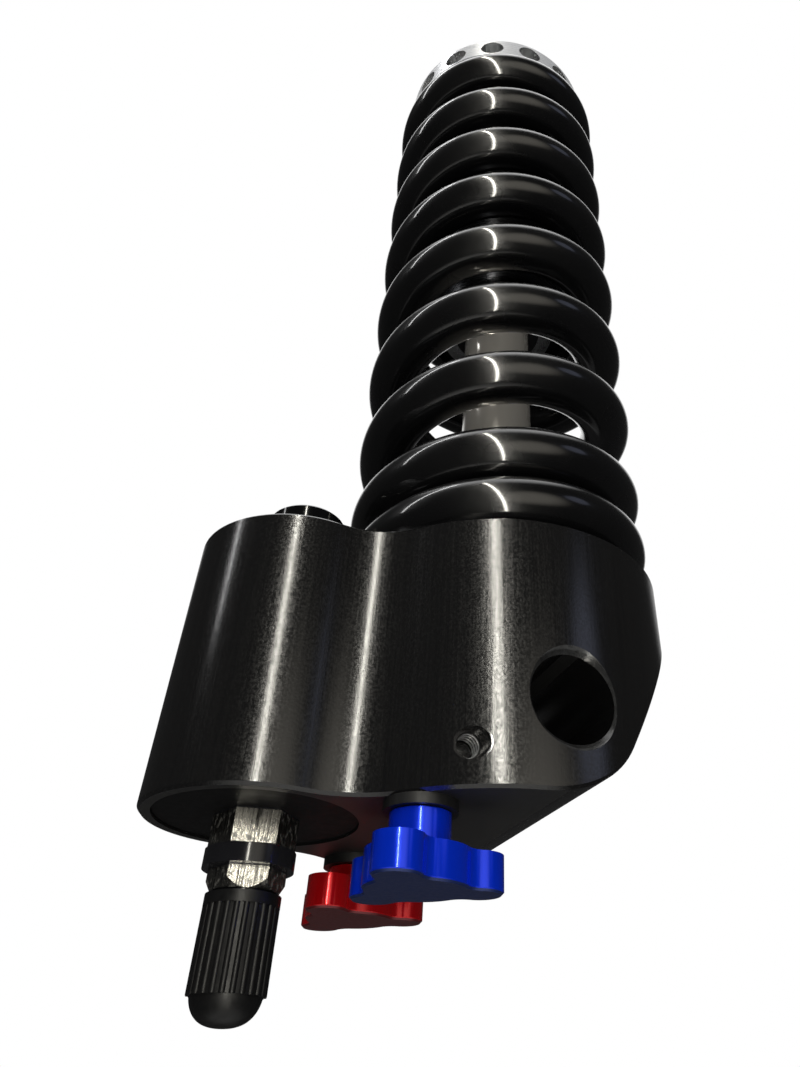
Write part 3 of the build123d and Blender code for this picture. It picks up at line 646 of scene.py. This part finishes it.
class SHOCK_OT_stage(bpy.types.Operator):
    """Makes the pale floor, the backdrop's white, the lamps and the camera"""
    bl_idname = "shock.stage"
    bl_label = "Stage"

    floor_drop: FloatProperty(name="Floor", description="Height of the floor", subtype="DISTANCE",
                              default=-0.3)

    def execute(self, context):
        self.floor()
        self.world(context)
        self.lamps()
        self.camera(context)
        context.scene.view_settings.view_transform = "Standard"
        return {"FINISHED"}

    def floor(self):
        """Pale floor under the shock, which fades away between two radii and glows a little for the
        camera."""
        half_side, points, glow = 0.24, 9, 0.3
        fade_from, fade_to = 0.13, 0.23
        side = np.linspace(-half_side, half_side, points)
        across, along = np.meshgrid(side, side)
        grid = np.stack([across, along, across * 0 + self.floor_drop], -1)
        floor = put_mesh("studio_floor", grid, False, False)
        material, tree, shader = new_material("pale_floor", Base_Color=settings().colours.backdrop,
                                              Roughness=0.9, Emission_Color=WHITE)
        place = add(tree, "TexCoord").outputs["Object"]
        flat = add(tree, "VectorMath", (place, (1, 1, 0)), operation="MULTIPLY")
        away = add(tree, "VectorMath", (flat,), operation="LENGTH")
        seen = add(tree, "LightPath").outputs["Is Camera Ray"]
        set_inputs(tree, shader, Alpha=add(tree, "MapRange", (away, fade_from, fade_to, 1, 0)),
                   Emission_Strength=add(tree, "Math", (seen, glow), operation="MULTIPLY"))
        floor.data.materials.append(material)

    def world(self, context):
        """A white studio for the camera. Mirrored rays see a bright end beyond the object, a soft ceiling,
        and two patches in front, a warm and a cool one. Other rays see an even grey."""
        world = bpy.data.worlds.new("studio")
        context.scene.world = world
        world.use_nodes = True
        tree = world.node_tree
        tree.nodes.clear()
        far_end = sky_patch(tree, 68, 48, 38, 14, 1.0)
        ceiling = sky_patch(tree, 0, 90, 32, 8, 1.6)
        warm_patch = sky_patch(tree, -86, 0, 30, 5, 1.0)
        cool_patch = sky_patch(tree, -53, 22, 11, 6, 0.6)
        even_light = 0.025
        white = add(tree, "Math", (far_end, ceiling), operation="ADD")
        white = add(tree, "Math", (white, even_light), operation="ADD")
        warm = add(tree, "VectorMath", ((1.0, 0.94, 0.82), warm_patch), operation="SCALE")
        cool = add(tree, "VectorMath", ((0.68, 0.74, 1.0), cool_patch), operation="SCALE")
        tinted = add(tree, "VectorMath", (warm, cool), operation="ADD")
        room = add(tree, "VectorMath", (tinted, white), operation="ADD")
        soft = add(tree, "Background", {"Color": WHITE, "Strength": 0.35})
        mirrored = add(tree, "Background", {"Color": room, "Strength": 1.0})
        backdrop = add(tree, "Background", {"Color": WHITE, "Strength": 1.0})
        path = add(tree, "LightPath")
        glossy = add(tree, "Math", (path.outputs["Is Glossy Ray"], path.outputs["Is Transmission Ray"]),
                     operation="MAXIMUM")
        lit = add(tree, "MixShader", (glossy, soft, mirrored))
        surface = add(tree, "MixShader", (path.outputs["Is Camera Ray"], lit, backdrop))
        add(tree, "OutputWorld", {"Surface": surface})

    def lamps(self):
        """A tall narrow tube beyond the camera that leans a little, and a fainter one high at the left."""
        azimuth, distance, lean = math.radians(-112), 0.42, math.radians(9.6)
        out = Vector((math.cos(azimuth), math.sin(azimuth), 0))
        middle = AXIS.cross(out) * 0.004 + AXIS * 0.2
        area_lamp("tube_lamp", middle + out * distance, middle, (0.014, 1.62), 3.4, (1, 0.97, 0.87), lean)
        area_lamp("left_lamp", (-0.578, 0.01, 0.689), (0, 0, 0.03), (0.035, 0.8), 0.9)

    def camera(self, context):
        """The photo's camera, fitted to the outlines of the object's pieces: focal length and centre in the
        photo's pixels, the place in metres, and the ways that it faces."""
        image = (800, 1067)
        focal_px = 814.7
        centre_px = (497.4, 481.4)
        place = (-0.04809, -0.11528, -0.04263)
        right = Vector((0.92216, -0.38682, 0.00035)).normalized()
        forward = Vector((0.30537, 0.72853, 0.61318)).normalized()
        up = right.cross(forward).normalized()
        data = bpy.data.cameras.new("photo_camera")
        data.sensor_width = 36
        data.lens = data.sensor_width * focal_px / max(image)
        data.shift_x = (image[0] / 2 - centre_px[0]) / max(image)
        data.shift_y = (centre_px[1] - image[1] / 2) / max(image)
        data.clip_start = 0.005
        camera = bpy.data.objects.new("photo_camera", data)
        turned = Matrix((right, up, -forward)).transposed().to_4x4()
        camera.matrix_world = Matrix.Translation(place) @ turned
        context.scene.collection.objects.link(camera)
        context.scene.camera = camera


class SHOCK_PT_panel(bpy.types.Panel):
    """Lists the sizes, the colours and the steps"""
    bl_idname = "SHOCK_PT_panel"
    bl_label = "Shock Absorber"
    bl_space_type = "VIEW_3D"
    bl_region_type = "UI"
    bl_category = "Shock"

    def draw(self, context):
        s = settings()
        for group in (s, s.sizes, s.colours):
            box = self.layout.box()
            for name in group.__annotations__:
                if name not in ("sizes", "colours"):
                    box.prop(group, name)
        for operator in OPERATORS:
            self.layout.operator(operator.bl_idname)


OPERATORS = (SHOCK_OT_spring, SHOCK_OT_body_thread, SHOCK_OT_side_thread, SHOCK_OT_finishes, SHOCK_OT_stage)
CLASSES = (ShockSizes, ShockColours, ShockSettings, *OPERATORS, SHOCK_PT_panel)


def register():
    """Registers the classes and hangs the settings on the scene."""
    for cls in CLASSES:
        bpy.utils.register_class(cls)
    bpy.types.Scene.shock = PointerProperty(type=ShockSettings)


def unregister():
    """Takes the settings and the classes away again."""
    del bpy.types.Scene.shock
    for cls in reversed(CLASSES):
        bpy.utils.unregister_class(cls)


def main():
    """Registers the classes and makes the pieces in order."""
    register()
    bpy.ops.shock.spring()
    bpy.ops.shock.body_thread()
    bpy.ops.shock.side_thread()
    bpy.ops.shock.finishes()
    bpy.ops.shock.stage()


if __name__ == "__main__":
    main()
